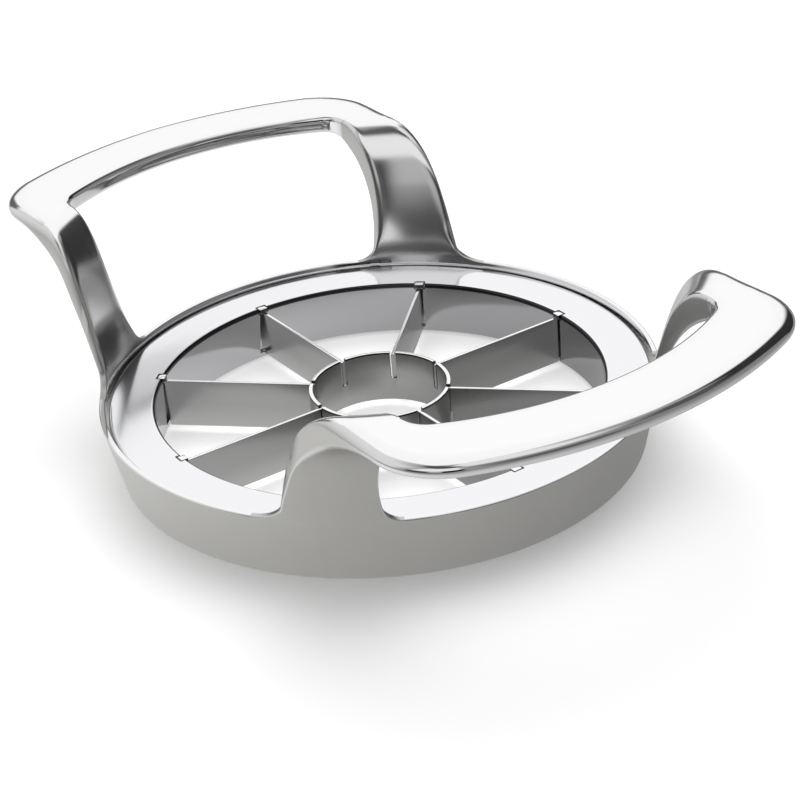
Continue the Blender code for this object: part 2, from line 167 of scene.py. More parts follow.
# Points along each stretch of a surface; the swell of a bend runs out over the bar's first ones
TURNS = 480
CORE_TURNS = 240
WALL_POINTS = 24
RIM_POINTS = 28
RIM_SATIN_POINTS = 7
DISH_POINTS = 22
LEAN_POINTS = 40
BEND_POINTS = 40
ARM_POINTS = 14
CORNER_POINTS = 26
BAR_POINTS = 44
SWELL_POINTS = 36
ROLL_POINTS = 9
ROUND_POINTS = 7
ACROSS_POINTS = 9
EASE_POINTS = 4

# The points of an upright's lean stand closer towards its foot, by this power
FOOT_SPACING = 1.6

# Faces that meet at more than this angle, in degrees, keep a sharp edge
SHARP_ANGLE = 30.0


class SlicerSizes(bpy.types.PropertyGroup):
    """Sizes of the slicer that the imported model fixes."""

    rim_radius: bpy.props.FloatProperty(
        name="Rim radius", description="Outer radius of the band at its rim",
        default=FRAME_HIGH[1], unit="LENGTH", precision=5)
    band_height: bpy.props.FloatProperty(
        name="Band height", description="Height of the band's rim above the table",
        default=0.0135, unit="LENGTH", precision=5)
    handle_top: bpy.props.FloatProperty(
        name="Handle top", description="Height of the handle bars' flat tops",
        default=FRAME_HIGH[2], unit="LENGTH", precision=5)
    handle_reach: bpy.props.FloatProperty(
        name="Handle reach", description="Distance from the ring's axis to a handle's outer edge",
        default=FRAME_HIGH[0], unit="LENGTH", precision=5)
    bar_thickness: bpy.props.FloatProperty(
        name="Bar thickness", description="Thickness of the flat handle bars",
        default=0.0028, unit="LENGTH", precision=5)


class SlicerFinishes(bpy.types.PropertyGroup):
    """Colours of the slicer's steel and of the studio floor."""

    polished: bpy.props.FloatVectorProperty(
        name="Polished steel", description="Colour of the polished handle tops and edges",
        subtype="COLOR", size=3, default=(0.91, 0.91, 0.915), min=0.0, max=1.0)
    satin: bpy.props.FloatVectorProperty(
        name="Satin steel", description="Colour of the blasted outer faces",
        subtype="COLOR", size=3, default=(0.60, 0.595, 0.575), min=0.0, max=1.0)
    mirror: bpy.props.FloatVectorProperty(
        name="Mirror steel", description="Colour of the dished flange and its collar",
        subtype="COLOR", size=3, default=(0.90, 0.90, 0.92), min=0.0, max=1.0)
    blade: bpy.props.FloatVectorProperty(
        name="Blade steel", description="Colour of the ground blades and the core ring",
        subtype="COLOR", size=3, default=(0.42, 0.42, 0.415), min=0.0, max=1.0)
    floor: bpy.props.FloatVectorProperty(
        name="Floor", description="Colour of the studio floor",
        subtype="COLOR", size=3, default=(0.92, 0.92, 0.92), min=0.0, max=1.0)


class Field:
    """A number socket in a node tree. Arithmetic on it adds the Math nodes that work it out."""

    def __init__(self, tree, socket):
        self.tree = tree
        self.socket = socket

    def worked(self, operation, *values):
        """The result of a Math node on numbers or fields."""
        node = self.tree.node("ShaderNodeMath", {"operation": operation}, dict(enumerate(values)))
        return Field(self.tree, node.outputs[0])

    def __add__(self, other):
        return self.worked("ADD", self, other)

    __radd__ = __add__

    def __mul__(self, other):
        return self.worked("MULTIPLY", self, other)

    __rmul__ = __mul__

    def __sub__(self, other):
        return self.worked("SUBTRACT", self, other)

    def __rsub__(self, other):
        return self.worked("SUBTRACT", other, self)

    def __truediv__(self, other):
        return self.worked("DIVIDE", self, other)

    def __pow__(self, other):
        return self.worked("POWER", self, other)

    def __abs__(self):
        return self.worked("ABSOLUTE", self)


NOISE_ROUGHNESS = 0.55


class NodeTree:
    """A node tree that is filled through one method for any node."""

    def __init__(self, tree):
        self.tree = tree
        self.tree.nodes.clear()

    def node(self, kind, settings=None, inputs=None):
        """Add a node, set its settings first, then give its sockets values or links."""
        made = self.tree.nodes.new(kind)
        for name, value in (settings or {}).items():
            setattr(made, name, value)
        for name, value in (inputs or {}).items():
            socket = made.inputs[name]
            if isinstance(value, Field):
                self.tree.links.new(value.socket, socket)
            elif isinstance(value, bpy.types.NodeSocket):
                self.tree.links.new(value, socket)
            else:
                socket.default_value = value
        return made

    def field(self, kind, output, settings=None, inputs=None):
        """Add a node and return one of its number outputs."""
        return Field(self, self.node(kind, settings, inputs).outputs[output])

    def coloured(self, share, first, second):
        """Mix two colours by a share and return the colour socket."""
        node = self.node("ShaderNodeMix", {"data_type": "RGBA", "clamp_factor": True},
                         {0: share, 6: first, 7: second})
        return node.outputs[2]

    def smooth(self, value, low, high):
        """A share that rises smoothly from 0 at low to 1 at high."""
        return self.field("ShaderNodeMapRange", 0, {"interpolation_type": "SMOOTHSTEP"},
                          {0: value, 1: low, 2: high, 3: 0.0, 4: 1.0})

    def place(self):
        """Object coordinates as a vector socket."""
        return self.node("ShaderNodeTexCoord").outputs["Object"]

    def noise(self, vector, scale, detail=2.0, stretch=(1.0, 1.0, 1.0)):
        """Noise on object coordinates that are stretched along the axes."""
        mapped = self.node("ShaderNodeMapping", {"vector_type": "POINT"},
                           {"Vector": vector, "Scale": stretch})
        return self.field("ShaderNodeTexNoise", 0, {}, {
            "Vector": mapped.outputs[0], "Scale": scale, "Detail": detail,
            "Roughness": NOISE_ROUGHNESS})


def new_material(name):
    """A material and its empty node tree."""
    material = bpy.data.materials.new(name)
    material.use_nodes = True
    return material, NodeTree(material.node_tree)


def steel(name, colour, roughness, height, depth):
    """A metal material; colour, roughness and height come from functions of its node tree."""
    material, tree = new_material(name)
    inputs = {"Base Color": colour(tree), "Roughness": roughness(tree), "Metallic": 1.0}
    bump = tree.node("ShaderNodeBump", {}, {
        "Strength": 1.0, "Distance": depth, "Height": height(tree)})
    inputs["Normal"] = bump.outputs[0]
    shader = tree.node("ShaderNodeBsdfPrincipled", {}, inputs)
    tree.node("ShaderNodeOutputMaterial", {}, {"Surface": shader.outputs[0]})
    return material


WHITE = (1.0, 1.0, 1.0)


def shaded(colour, share=1.0):
    """A colour scaled by a share, with an alpha of 1."""
    return (*(share * part for part in colour), 1.0)


# Frame steel. A face is fully blasted from a satin of FULLY_BLASTED on, and clouds darken its
# colour. Satin and clouds add to the polish's roughness. Blasted faces have a grain, and polished
# ones waves of a share of its height.
FULLY_BLASTED = 0.9
CLOUD_SCALE = 90.0
CLOUD_SHADE = 0.94
POLISH_ROUGHNESS = 0.05
SATIN_ROUGHNESS = 0.28
CLOUD_ROUGHNESS = 0.03
CLOUD_ROUGHNESS_SCALE = 160.0
GRAIN_SCALE = 3800.0
GRAIN_HEIGHT = 0.000012
WAVE_SCALE = 60.0
WAVE_SHARE = 0.6


def frame_steel(finishes):
    """Polished edges, finely brushed faces and blasted outer faces, as the satin attribute says."""

    def satin(tree):
        return tree.field("ShaderNodeAttribute", "Fac", {"attribute_name": "satin"})

    def colour(tree):
        cloud = tree.noise(tree.place(), CLOUD_SCALE, detail=3.0)
        shade = tree.coloured(cloud, shaded(finishes.satin, CLOUD_SHADE), shaded(finishes.satin))
        return tree.coloured(tree.smooth(satin(tree), BRUSHED, FULLY_BLASTED),
                             shaded(finishes.polished), shade)

    def roughness(tree):
        cloud = tree.noise(tree.place(), CLOUD_ROUGHNESS_SCALE, detail=3.0)
        return POLISH_ROUGHNESS + SATIN_ROUGHNESS * satin(tree) + CLOUD_ROUGHNESS * cloud

    def height(tree):
        grain = tree.noise(tree.place(), GRAIN_SCALE, detail=1.0)
        wave = tree.noise(tree.place(), WAVE_SCALE, detail=1.0)
        blasted = tree.smooth(satin(tree), BRUSHED, FULLY_BLASTED)
        return blasted * grain + (1.0 - blasted) * wave * WAVE_SHARE

    return steel("frame_steel", colour, roughness, height, GRAIN_HEIGHT)


def axis_radius(tree):
    """Distance from the ring's axis."""
    flat = tree.node("ShaderNodeVectorMath", {"operation": "MULTIPLY"},
                     {0: tree.place(), 1: (1.0, 1.0, 0.0)})
    return tree.field("ShaderNodeVectorMath", "Value", {"operation": "LENGTH"},
                      {0: flat.outputs[0]})


def table_height(tree):
    """Height above the table."""
    return tree.field("ShaderNodeSeparateXYZ", "Z", {}, {0: tree.place()})


def ring_streaks(tree, scale):
    """Noise that runs round the axis, as fine turning marks do."""
    lined = tree.node("ShaderNodeCombineXYZ", {}, {
        "X": axis_radius(tree), "Y": table_height(tree), "Z": 0.0})
    return tree.noise(lined.outputs[0], scale)


# Carrier steel. Turning marks show in its colour and roughness, and low ripples in its surface.
# The wall of its hole is darker with painted shade, darkest from the lip down to a set depth.
MARK_SCALE = 900.0
MARK_SHADE = 0.97
FINE_MARK_SCALE = 2600.0
MIRROR_ROUGHNESS = 0.10
MARK_ROUGHNESS = 0.05
RIPPLE_SCALE = 45.0
RIPPLE_HEIGHT = 0.00001
WALL_PAINTED_SHADE = 0.66
LIP_PAINTED_SHADE = 0.06
LIP_PAINTED_SHADE_DEPTH = 0.0009
PAINTED_SHADE_BLUR = 0.0001


def carrier_steel(finishes, sizes):
    """Mirror polish with faint turning marks; the hole's wall has painted shade, most at the lip.
    """
    wall = carrier_radii(sizes)[1] + LIP_ROUND
    band = blade_levels(sizes)["lip"] - LIP_PAINTED_SHADE_DEPTH

    def colour(tree):
        streaks = ring_streaks(tree, MARK_SCALE)
        # painted shade: the hole's wall is darker, and darkest in a band under the lip
        shade = tree.coloured(
            tree.smooth(table_height(tree), band - PAINTED_SHADE_BLUR, band + PAINTED_SHADE_BLUR),
            shaded(finishes.mirror, WALL_PAINTED_SHADE), shaded(finishes.mirror, LIP_PAINTED_SHADE))
        dish = tree.coloured(streaks, shaded(finishes.mirror, MARK_SHADE), shaded(finishes.mirror))
        return tree.coloured(
            tree.smooth(axis_radius(tree), wall - PAINTED_SHADE_BLUR / 2, wall - PAINTED_SHADE_BLUR), dish, shade)

    def roughness(tree):
        return MIRROR_ROUGHNESS + MARK_ROUGHNESS * ring_streaks(tree, FINE_MARK_SCALE)

    def height(tree):
        return tree.noise(tree.place(), RIPPLE_SCALE, detail=1.0)

    return steel("carrier_steel", colour, roughness, height, RIPPLE_HEIGHT)


# Blade steel. A pair is where a share starts and ends: of the normal's upward part for a top edge
# and its painted highlight, of the height above the table for the foot's painted light, and above
# the blade for the painted shade on a lug's side.
TOP_NORMALS = (0.6, 0.95)
TOP_PAINTED_HIGHLIGHT = 0.95
TOP_POLISH = 0.12
FOOT_PAINTED_LIGHT_HEIGHTS = (0.0065, 0.0012)
FOOT_PAINTED_LIGHT = 1.3
LUG_PAINTED_SHADE_HEIGHTS = (0.00001, 0.00005)
LUG_PAINTED_SHADE = 0.2
GROUND_ROUGHNESS = 0.20
STROKE_ROUGHNESS = 0.10
STROKE_SCALE = 2600.0
STROKE_STRETCH = (0.06, 0.06, 1.0)
GROOVE_SCALE = 5200.0
GROOVE_STRETCH = (0.04, 0.04, 1.0)
GROOVE_HEIGHT = 0.0000025


def blade_steel(finishes, sizes, name):
    """Ground steel; painted highlight on tops, painted light at the foot, painted shade on lug
    sides.
    """
    blade_top = blade_levels(sizes)["blade_top"]

    # faces turned up: where the top edges' painted highlight and their polish lie
    def top(tree):
        up = tree.node("ShaderNodeNewGeometry").outputs["Normal"]
        return tree.smooth(tree.field("ShaderNodeSeparateXYZ", "Z", {}, {0: up}), *TOP_NORMALS)

    def colour(tree):
        # painted light: the face is lighter towards the foot
        low = tree.smooth(table_height(tree), *FOOT_PAINTED_LIGHT_HEIGHTS)
        face = tree.coloured(low, shaded(finishes.blade), shaded(finishes.blade, FOOT_PAINTED_LIGHT))
        # painted shade: a lug's sides are dark above the blade's top
        lug = tree.smooth(table_height(tree), *(blade_top + height for height in LUG_PAINTED_SHADE_HEIGHTS))
        side = tree.coloured(lug, face, shaded(finishes.blade, LUG_PAINTED_SHADE))
        # painted highlight: faces turned up are near white
        return tree.coloured(top(tree), side, shaded(WHITE, TOP_PAINTED_HIGHLIGHT))

    def roughness(tree):
        strokes = tree.noise(tree.place(), STROKE_SCALE, stretch=STROKE_STRETCH)
        return GROUND_ROUGHNESS + STROKE_ROUGHNESS * strokes - TOP_POLISH * top(tree)

    def height(tree):
        return tree.noise(tree.place(), GROOVE_SCALE, detail=1.0, stretch=GROOVE_STRETCH)

    return steel(name, colour, roughness, height, GROOVE_HEIGHT)


def mix(first, second, share):
    """The value at a share of the way from the first to the second."""
    return first + (second - first) * share


def smoothstep(value, low, high):
    """0 at low, 1 at high, 3 t^2 - 2 t^3 between them, and even beyond."""
    share = np.clip((value - low) / (high - low), 0.0, 1.0)
    return share * share * (3.0 - 2.0 * share)


def arc(centre, radius, start, end, count):
    """Points at even angles along an arc, as centre plus radius times cosine and sine."""
    turn = np.linspace(start, end, count)
    return np.stack([centre[0] + radius * np.cos(turn), centre[1] + radius * np.sin(turn)], axis=1)


def quadratic(start, control, end, share):
    """Points of the parabola from start by way of control to end, at an array of shares."""
    start, control, end = np.asarray(start), np.asarray(control), np.asarray(end)
    share = np.asarray(share)[..., None]
    return mix(mix(start, control, share), mix(control, end, share), share)


def grid_faces(rows, columns, wrap_rows=False):
    """Quads of a grid whose columns close on themselves; point (i, j) is number i * columns + j."""
    i = np.arange(rows if wrap_rows else rows - 1)[:, None]
    j = np.arange(columns)[None, :]
    near = i * columns
    far = (i + 1) % rows * columns
    after = (j + 1) % columns
    return np.stack([near + j, near + after, far + after, far + j], axis=2).reshape(-1, 4)


def make_mesh_object(name, points, faces, caps=(), attribute=None):
    """An object from grid points, quads and end caps, with the satin share of each point."""
    mesh = bpy.data.meshes.new(name)
    mesh.from_pydata(points.reshape(-1, 3).tolist(), [], faces.tolist() + [list(c) for c in caps])
    if attribute is not None:
        number = np.empty(len(mesh.loops), dtype=np.int32)
        mesh.loops.foreach_get("vertex_index", number)
        layer = mesh.attributes.new("satin", "FLOAT", "CORNER")
        layer.data.foreach_set("value", attribute.astype(np.float32).ravel()[number])
    item = bpy.data.objects.new(name, mesh)
    bpy.context.scene.collection.objects.link(item)
    return item


def outward(item):
    """Turn a closed mesh's faces outwards if its signed volume says that they point in."""
    mesh = item.data
    mesh.calc_loop_triangles()
    points = np.empty(len(mesh.vertices) * 3)
    mesh.vertices.foreach_get("co", points)
    corners = np.empty(len(mesh.loop_triangles) * 3, dtype=np.int32)
    mesh.loop_triangles.foreach_get("vertices", corners)
    triangles = points.reshape(-1, 3)[corners.reshape(-1, 3)]
    normals = np.cross(triangles[:, 1], triangles[:, 2])
    if np.einsum("ij,ij->i", triangles[:, 0], normals).sum() < 0:
        mesh.flip_normals()
    return item


def turned(name, outline, turns=TURNS, satin=None):
    """A body of revolution: point (i, j) is outline point j turned by i steps about the axis."""
    turn = np.linspace(0.0, math.tau, turns, endpoint=False)[:, None]
    radius = outline[None, :, 0]
    points = np.stack([radius * np.cos(turn), radius * np.sin(turn),
                       np.broadcast_to(outline[None, :, 1], (turns, len(outline)))], axis=2)
    attribute = None if satin is None else np.broadcast_to(satin[None, :], points.shape[:2])
    faces = grid_faces(turns, len(outline), wrap_rows=True)
    return outward(make_mesh_object(name, points, faces, attribute=attribute))


def prism(name, outline, near, far, angle):
    """A prism: (sideways, height) points carried along a direction from the near to the far radius.

    A point is the radius times the direction, plus its sideways part at a right angle to it.
    """
    across, height = np.asarray(outline).T
    radius = np.array([[near], [far]])
    points = np.stack([radius * math.cos(angle) - across * math.sin(angle),
                       radius * math.sin(angle) + across * math.cos(angle),
                       np.broadcast_to(height, (2, len(height)))], axis=2)
    end = np.arange(len(height))
    caps = (end[::-1], len(height) + end)
    return outward(make_mesh_object(name, points, grid_faces(2, len(height)), caps))


def block(name, radii, heights, half_width, angle, flare=0.0):
    """A block between two radii and two heights at an angle; its foot may flare to one side."""
    outline = [(-half_width, heights[0]), (half_width + flare, heights[0]),
               (half_width, heights[1]), (-half_width, heights[1])]
    return prism(name, outline, *radii, angle)


def cut(target, *shape):
    """Take a block of the given shape out of a piece."""
    combined(target, block("cut", *shape), "DIFFERENCE")


def combined(target, tool, operation):
    """Apply a Boolean of two objects to the first and remove the second."""
    modifier = target.modifiers.new(operation, "BOOLEAN")
    modifier.operation = operation
    modifier.object = tool
    modifier.solver = "MANIFOLD"
    graph = bpy.context.evaluated_depsgraph_get()
    mesh = bpy.data.meshes.new_from_object(target.evaluated_get(graph))
    target.modifiers.clear()
    target.data = mesh
    bpy.data.objects.remove(tool)


def finished(item, material, nodes):
    """Shade a piece, give it its material, and let it stand for its nodes."""
    item.data.shade_smooth()
    item.data.set_sharp_from_angle(angle=math.radians(SHARP_ANGLE))
    item.data.materials.clear()
    item.data.materials.append(material)
    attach(item, "root")
    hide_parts(*nodes)


def dish_top(sizes, radius):
    """Height of the flange's upper face, which falls towards the hole and flattens out there."""
    flange = sizes.rim_radius - RIM_WALL - RIM_GAP
    share = np.maximum(radius - (flange - FLANGE_WIDTH), 0.0) / FLANGE_WIDTH
    return mix(sizes.band_height - LIP_DROP, sizes.band_height - FLANGE_DROP, share ** DISH_POWER)


def wall_ends(sizes):
    """Slope of the band's straight wall, and its lowest and highest (radius, height) points."""
    slope = math.atan2(BAND_TAPER, sizes.band_height)
    low = (sizes.rim_radius - BAND_TAPER - BASE_ROUND * (1 - math.cos(slope)),
           BASE_ROUND * (1 - math.sin(slope)))
    high = (sizes.rim_radius - RIM_ROUND * (1 - math.cos(slope)),
            sizes.band_height - RIM_ROUND * (1 + math.sin(slope)))
    return slope, low, high


def wall_radius(sizes, height):
    """Outer radius of the band's straight wall at a height; its line goes on above the rim."""
    _, low, high = wall_ends(sizes)
    return mix(low[0], high[0], (height - low[1]) / (high[1] - low[1]))


def band_outline(sizes):
    """Section of the band with its ledge, and the share of satin finish at each point."""
    base = sizes.rim_radius - BAND_TAPER
    inner = sizes.rim_radius - RIM_WALL
    ledge = inner - LEDGE_WIDTH
    seat = FLANGE_THICKNESS + SEAT_GAP
    slope, low, high = wall_ends(sizes)
    level = np.linspace(low[1], high[1], WALL_POINTS + 2)[1:-1]
    foot = arc((base - BASE_ROUND, BASE_ROUND), BASE_ROUND, -math.pi / 2, -slope, ROUND_POINTS)
    rim = arc((sizes.rim_radius - RIM_ROUND, sizes.band_height - RIM_ROUND), RIM_ROUND, -slope,
              math.pi / 2, RIM_POINTS)
    parts = [
        ([(base - BASE_WALL, 0.0)], MACHINED),
        (foot, 1.0),
        (np.stack([wall_radius(sizes, level), level], axis=1), 1.0),
        (rim[:RIM_SATIN_POINTS], 1.0),
        (rim[RIM_SATIN_POINTS:], 0.0),
        ([(inner + RIM_CHAMFER, sizes.band_height), (inner, sizes.band_height - RIM_CHAMFER)], 0.0),
        ([(radius, dish_top(sizes, radius) - seat) for radius in (inner, ledge)], MACHINED),
    ]
    return np.concatenate([part for part, _ in parts]), np.concatenate(
        [np.full(len(part), share) for part, share in parts])


def handle_side(sizes, face):
    """Foot, knee and bend of a handle's top face (0) or lower face (1), as (radius, height)."""
    band = sizes.band_height
    if face == 0:
        foot = (sizes.rim_radius - RIM_WALL + FOOT_BURY, band)
        knee = (foot[0], band + KNEE_HEIGHT)
        corner = (sizes.rim_radius - RIM_WALL + TOP_LEAN, sizes.handle_top)
        share, out = TOP_BEND_SHARE, TOP_BEND_OUT
    else:
        foot = (wall_radius(sizes, band) - FOOT_BURY, band)
        knee = (wall_radius(sizes, band + KNEE_HEIGHT) - FOOT_BURY, band + KNEE_HEIGHT)
        corner = (sizes.rim_radius + UNDER_LEAN, sizes.handle_top - sizes.bar_thickness)
        share, out = UNDER_BEND_SHARE, UNDER_BEND_OUT
    start = (mix(corner[0], knee[0], share), mix(corner[1], knee[1], share))
    return foot, knee, (start, corner, (corner[0] + out, corner[1]))


def bend_share(bend, radius):
    """Where a bend's parabola reaches each radius, by its quadratic's root; 1 from its end on."""
    start, corner, end = [point[0] for point in bend]
    run = 2.0 * (corner - start)
    turn = start - 2.0 * corner + end
    ahead = np.minimum(radius, end) - start
    return 2.0 * ahead / (run + np.sqrt(run ** 2 + 4.0 * turn * ahead))


def side_profile(sizes, face, last_radius):
    """Points of a face of an upright, from its foot over the bend to the last radius."""
    foot, knee, bend = handle_side(sizes, face)
    lean = quadratic(foot, knee, bend[0], (np.arange(LEAN_POINTS) / LEAN_POINTS) ** FOOT_SPACING)
    turn = quadratic(*bend, np.linspace(0.0, 1.0, BEND_POINTS) * bend_share(bend, last_radius))
    return np.concatenate([lean, turn])


def rounded_edge(half_width, corner_x, crown, corner_share):
    """Plan points of one edge of a handle: a corner arc, then the bar's arc to the X axis."""
    depth = crown - corner_x
    corner = corner_share * depth
    corner_y = half_width - corner
    radius = (depth ** 2 + corner_y ** 2 - corner ** 2) / (2 * (depth - corner))
    turn = math.atan2(corner_y, corner_x - crown + radius)
    return np.concatenate([
        arc((corner_x, corner_y), corner, math.pi / 2, turn, CORNER_POINTS),
        arc((crown - radius, 0.0), radius, turn, 0.0, BAR_POINTS)[1:]])


def strap_layout(width, thickness, rolls, depths, unders, normals):
    """Rings round a strap, one row per station: shares across and down, and each point's dip.

    Each side is a quarter ellipse from the top face, then a straight side, then a quarter circle
    to the lower face. They are cut square to the side's surface, whose normal is given as its
    parts outwards and up. Straight runs join the two sides below and above. All but the width have
    a column for each side.
    """
    roll_turn = np.linspace(0.0, math.pi / 2, ROLL_POINTS)
    round_turn = np.linspace(math.pi, math.pi / 2, ROUND_POINTS)
    under = np.minimum(unders, thickness / 2)[..., None]
    thickness = thickness[..., None]
    depth = np.minimum(depths[..., None], thickness - under)
    inset = np.concatenate([rolls[..., None] * (1 - np.sin(roll_turn)),
                            under * (1 + np.cos(round_turn))], axis=2)
    down = np.concatenate([depth * (1 - np.cos(roll_turn)),
                           thickness - under * (1 - np.sin(round_turn))], axis=2) / thickness
    dip = inset * normals[..., 1, None]
    across = inset * normals[..., 0, None] / width[:, None, None]
    across[:, 1] = 1.0 - across[:, 1]
    run = np.linspace(0.0, 1.0, ACROSS_POINTS + 2)[1:-1]
    rings = []
    for value in (across, down, dip):
        window, outer = value[:, 0], value[:, 1, ::-1]
        rings.append(np.concatenate([window, mix(window[:, -1:], outer[:, :1], run), outer,
                                     mix(outer[:, -1:], window[:, :1], run)], axis=1))
    return rings


def strap_satin(fade, side):
    """Satin shares of the rings round a strap; fade is the lower face's, side the straight sides'.

    Every list goes down the window side, over the lower face, up the outer side and over the top.
    """
    flat = np.zeros(ACROSS_POINTS)

    def ring(edge, lower, top):
        return np.concatenate([edge, lower, edge[::-1], top])

    down = np.linspace(0.0, 1.0, ROLL_POINTS)
    brushed = BRUSHED * np.clip(1.0 - down / ROLL_BRUSHED_SHARE, 0.0, 1.0)
    upper = ring(np.concatenate([brushed, np.zeros(ROUND_POINTS)]), flat, flat + BRUSHED)
    lower = ring(np.concatenate([np.zeros(ROLL_POINTS), np.linspace(0.0, 1.0, ROUND_POINTS)]),
                 flat + 1.0, flat)
    straight = ring(np.concatenate([down, np.linspace(1.0, 0.0, ROUND_POINTS)]), flat, flat)
    return np.maximum(upper + lower * fade[:, None], straight * side[:, None])


def outer_side(share):
    """Columns of a share for a strap's two sides: none at the window, all at the outer side."""
    return np.stack([np.zeros_like(share), share], axis=1)


def fillet(height, radius):
    """How far a foot's fillet stands out at each height above the rim, and its normal's parts.

    It is a quarter circle, and the normal's parts are the one outwards and the one up.
    """
    left = np.clip(radius - height, 0.0, radius)
    out = np.sqrt(radius ** 2 - left ** 2)
    return radius - out, np.stack([out, left], axis=1) / radius


def upright_edges(sizes, face, level, height):
    """Half widths at the window side and outer side of an upright's top (0) or lower face (1).

    Both faces are cut towards the axis at the foot, where the strap is broader. The top face's
    sides run along X from some way up, the lower face's only near the bend. The fillets go by the
    height.
    """
    half_width = sizes.rim_radius - ARM_SETBACK
    rise = (level - sizes.band_height) / (
        sizes.handle_top - face * sizes.bar_thickness - sizes.band_height)
    ease = np.clip(1.0 - rise / WINDOW_END_SHARE, 0.0, 1.0) ** 2
    window = mix(half_width - ARM_WIDTH, half_width + FOOT_SPREAD - FOOT_WIDTH, ease)
    if face:
        turn, narrowing = smoothstep(rise, *SPREAD_SHARES), 1.0
    else:
        turn = smoothstep(rise, 0.0, TURN_END_SHARE)
        rim_share = (sizes.rim_radius - RIM_WALL) / wall_radius(sizes, sizes.band_height)
        narrowing = mix(rim_share, 1.0, turn)
    outer = half_width + FOOT_SPREAD * (1.0 - turn)
    window = window - fillet(height, FOOT_FILLET_WINDOW)[0]
    outer = outer + fillet(height, FOOT_FILLET_OUTER)[0]
    return (window * narrowing)[:, None], (outer * narrowing)[:, None]


def upright_rings(sizes, last_radius):
    """Rings up one upright; a point is on a circle about the axis, at the y of its share across."""
    profiles = [side_profile(sizes, face, last_radius).T for face in (0, 1)]
    band = sizes.band_height
    height = profiles[0][1] - band
    rise = height / (sizes.handle_top - band)
    edges = [upright_edges(sizes, face, profiles[face][1], height) for face in (0, 1)]
    thickness = np.linalg.norm(profiles[0] - profiles[1], axis=0)
    grown = smoothstep(height, 0.0, ROLL_START)[:, None]
    swell = outer_side(smoothstep(rise, SWELL_START_SHARE, 1.0))
    rounded = smoothstep(rise, *ROUND_SHARES)[:, None]
    rolls = np.array([[ROLL_WINDOW, ROLL_OUTER]]) * (1.0 + ROLL_BEND_SHARE * swell)
    across, down, dip = strap_layout(
        (edges[1][1] - edges[1][0])[:, 0],
        np.stack([thickness, thickness], axis=1),
        mix(RIM_CHAMFER, rolls, grown),
        mix(RIM_CHAMFER, ROLL_DEPTH * (1.0 + DEPTH_BEND_SHARE * swell), grown),
        mix(RIM_ROUND, EDGE_ROUND_UNDER, rounded),
        np.stack([fillet(height, radius)[1] for radius in (FOOT_FILLET_WINDOW, FOOT_FILLET_OUTER)],
                 axis=1))

    def face_points(face, sink):
        """The rings' points on a face, lowered by dip and sink along the slope of the face."""
        radius, level = profiles[face]
        below = band - 2 * FOOT_SINK
        first = wall_radius(sizes, below) - FOOT_BURY if face else radius[0]
        known = (np.append(below, level[:LEAN_POINTS]), np.append(first, radius[:LEAN_POINTS]))
        lower = level[:, None] - dip - sink
        moved = radius[:, None] + np.interp(lower, *known) - np.interp(level, *known)[:, None]
        y = mix(*edges[face], across)
        return np.stack([np.sqrt(moved ** 2 - y ** 2), y, lower], axis=2)

    sunk, rings = (mix(face_points(0, sink), face_points(1, sink), down[..., None])
                   for sink in (FOOT_SINK, 0.0))
    satin = strap_satin(mix(1.0, SATIN_LEFT, smoothstep(profiles[1][1], *SATIN_FADE)),
                        np.full(len(height), SATIN_SIDE))
    return np.concatenate([sunk[:1], rings]), np.concatenate([satin[:1], satin])


def bar_rings(sizes, last_radius):
    """Rings along the flat bar, from the bend to the middle; the lower face follows its bend.

    The rolls grow at the bar's corners, by the sine of twice the angle at which a ring lies, and
    take up the swell that is left of the bend.
    """
    half_width = sizes.rim_radius - ARM_SETBACK
    window_half = half_width - ARM_WIDTH
    bend_window, bend_outer = (np.array([math.sqrt(last_radius ** 2 - half ** 2), half])
                               for half in (window_half, half_width))
    corner_x = bend_window[0] + CORNER_CLEARANCE
    window = rounded_edge(window_half, corner_x, sizes.handle_reach - BAR_WIDTH,
                          WINDOW_CORNER_SHARE)
    outer = rounded_edge(half_width, corner_x + OUTER_CORNER_LAG, sizes.handle_reach,
                         OUTER_CORNER_SHARE)
    arm = np.linspace(0.0, 1.0, ARM_POINTS + 1)[1:-1, None]
    edges = np.stack([np.concatenate([mix(bend_window, window[0], arm), window]),
                      np.concatenate([mix(bend_outer, outer[0], arm), outer])], axis=1)
    bend = handle_side(sizes, 1)[2]

    def lower_level(plan):
        """Height of the lower face at each plan point, on the parabola of its bend."""
        return quadratic(*bend, bend_share(bend, np.linalg.norm(plan, axis=-1)))[..., 1]

    span = edges[:, 1] - edges[:, 0]
    width = np.linalg.norm(span, axis=1)
    corner = outer_side(np.maximum(0.0, 2.0 * span[:, 0] * span[:, 1] / width ** 2))
    left = smoothstep(np.arange(1.0, len(width) + 1), SWELL_POINTS, 0.0)
    swell = outer_side(left)
    roll_growth = np.maximum(ROLL_CORNER_SHARE * corner, ROLL_BEND_SHARE * swell)
    depth_growth = np.maximum(DEPTH_CORNER_SHARE * corner, DEPTH_BEND_SHARE * swell)
    across, down, _ = strap_layout(
        width, sizes.handle_top - lower_level(edges),
        np.array([[ROLL_WINDOW, ROLL_OUTER]]) * (1.0 + roll_growth),
        ROLL_DEPTH * (1.0 + depth_growth),
        np.full(corner.shape, EDGE_ROUND_UNDER),
        np.broadcast_to((1.0, 0.0), (*corner.shape, 2)))
    plan = mix(edges[:, :1], edges[:, 1:], across[..., None])
    level = mix(sizes.handle_top, lower_level(plan), down)
    satin = strap_satin(np.full(len(width), SATIN_LEFT), SATIN_SIDE * left)
    return np.concatenate([plan, level[..., None]], axis=2), satin


